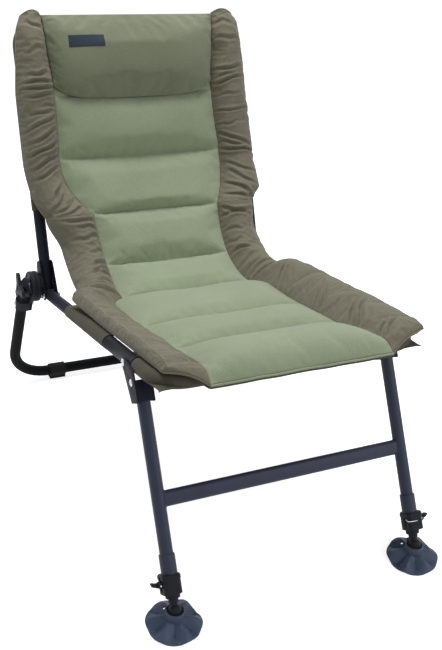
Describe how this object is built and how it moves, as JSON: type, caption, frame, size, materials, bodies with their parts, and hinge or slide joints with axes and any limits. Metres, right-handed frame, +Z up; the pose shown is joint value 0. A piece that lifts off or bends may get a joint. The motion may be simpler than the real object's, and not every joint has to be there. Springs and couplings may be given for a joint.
{
  "type": "folding fishing chair",
  "caption": "Low reclining tubular folding chair with a quilted mattress on slings, a ratchet rear leg and telescopic front legs on swivelling mud feet.",
  "frame": {"origin": "on the ground, at the centre of the chair's footprint", "axes": "+Z up, +Y towards the back, -Y the way a sitter faces, +X across the chair to a viewer's right"},
  "size_m": [0.6645, 1.0802, 0.8705],
  "materials": {
    "leg_paint": "satin powder coat, blue grey",
    "frame_paint": "satin powder coat, near black",
    "zinc": "bright zinc",
    "black_plastic": "moulded, lightly textured",
    "foot_plastic": "moulded, slate",
    "rubber": "moulded rubber",
    "sling_cloth": "woven polyester",
    "fleece": "short-pile fleece",
    "bolster_cloth": "peached polyester",
    "tag_cloth": "woven patch, bare"
  },
  "bodies": {
    "seat": {"seat_frame": "frame_paint", "seat_sling": "sling_cloth", "leg_collar_left": "black_plastic", "leg_collar_right": "black_plastic", "leg_pivot_bolt_left": "zinc", "leg_pivot_bolt_right": "zinc", "hinge_bolt_left": "zinc", "hinge_bolt_right": "zinc", "seat_pad": "fleece", "seat_bolster_left": "bolster_cloth", "seat_bolster_right": "bolster_cloth", "lumbar_pad": "fleece", "lumbar_bolster_left": "bolster_cloth", "lumbar_bolster_right": "bolster_cloth"},
    "back": {"back_frame": "frame_paint", "back_sling": "sling_cloth", "hinge_bracket_left": "leg_paint", "hinge_bracket_right": "leg_paint", "ratchet_housing": "black_plastic", "ratchet_bolt": "zinc", "pivot_bolt_right": "zinc", "back_pad": "fleece", "headrest_pillow": "fleece", "back_bolster_left": "bolster_cloth", "back_bolster_right": "bolster_cloth", "mattress_hood": "bolster_cloth", "tag_patch": "tag_cloth"},
    "knob": {"ratchet_knob": "black_plastic", "ratchet_spring": "zinc"},
    "rear_leg": {"rear_leg": "frame_paint", "ratchet_arm": "black_plastic", "pivot_strap_right": "frame_paint", "rear_leg_bolt_left": "zinc", "rear_leg_bolt_right": "zinc", "rear_foot_left": "rubber", "rear_foot_right": "rubber"},
    "front_legs": {"front_leg_left": "leg_paint", "front_leg_right": "leg_paint", "front_crossbar": "leg_paint", "leg_saddle_left": "leg_paint", "leg_saddle_right": "leg_paint", "saddle_bolt_left": "zinc", "saddle_bolt_right": "zinc", "leg_sleeve_left": "leg_paint", "leg_sleeve_right": "leg_paint", "clamp_block_left": "black_plastic", "clamp_block_right": "black_plastic", "lever_pin_left": "zinc", "lever_pin_right": "zinc"},
    "lever_left": {"cam_lever_left": "black_plastic"},
    "lever_right": {"cam_lever_right": "black_plastic"},
    "extension_left": {"inner_leg_left": "black_plastic"},
    "extension_right": {"inner_leg_right": "black_plastic"},
    "socket_left": {"foot_socket_left": "black_plastic"},
    "socket_right": {"foot_socket_right": "black_plastic"},
    "foot_left": {"mud_foot_left": "foot_plastic"},
    "foot_right": {"mud_foot_right": "foot_plastic"}
  },
  "joints": [
    {"name": "back_fold", "type": "hinge", "parent": "seat", "child": "back", "pos_m": [0, 0.25352, 0.301], "axis": [1, 0, 0], "range_deg": [0, 62], "deforming": ["lumbar_pad", "lumbar_bolster_left", "lumbar_bolster_right"]},
    {"name": "rear_leg_swing", "type": "hinge", "parent": "back", "child": "rear_leg", "pos_m": [0, 0.27988, 0.31533], "axis": [1, 0, 0], "range_deg": [-100, 125]},
    {"name": "knob_turn", "type": "hinge", "parent": "back", "child": "knob", "pos_m": [-0.32, 0.27988, 0.31533], "axis": [1, 0, 0], "range_deg": [0, 180]},
    {"name": "front_leg_fold", "type": "hinge", "parent": "seat", "child": "front_legs", "pos_m": [0, -0.22975, 0.40814], "axis": [1, 0, 0], "range_deg": [0, 90]},
    {"name": "left_lever", "type": "hinge", "parent": "front_legs", "child": "lever_left", "pos_m": [-0.2835, -0.46402, 0.07905], "axis": [0, 0.8526, -0.5225], "range_deg": [0, 60]},
    {"name": "right_lever", "type": "hinge", "parent": "front_legs", "child": "lever_right", "pos_m": [0.2835, -0.46402, 0.07905], "axis": [0, -0.8526, 0.5225], "range_deg": [0, 60]},
    {"name": "left_extension", "type": "slide", "parent": "front_legs", "child": "extension_left", "axis": [0, -0.5225, -0.8526], "range_m": [0, 0.12]},
    {"name": "right_extension", "type": "slide", "parent": "front_legs", "child": "extension_right", "axis": [0, -0.5225, -0.8526], "range_m": [0, 0.12]},
    {"name": "left_foot_pitch", "type": "hinge", "parent": "extension_left", "child": "socket_left", "pos_m": [-0.262, -0.4904, 0.036], "axis": [1, 0, 0], "range_deg": [-12, 12]},
    {"name": "right_foot_pitch", "type": "hinge", "parent": "extension_right", "child": "socket_right", "pos_m": [0.262, -0.4904, 0.036], "axis": [1, 0, 0], "range_deg": [-12, 12]},
    {"name": "left_foot_roll", "type": "hinge", "parent": "socket_left", "child": "foot_left", "pos_m": [-0.262, -0.4904, 0.036], "axis": [0, 1, 0], "range_deg": [-15, 15]},
    {"name": "right_foot_roll", "type": "hinge", "parent": "socket_right", "child": "foot_right", "pos_m": [0.262, -0.4904, 0.036], "axis": [0, 1, 0], "range_deg": [-15, 15]}
  ]
}
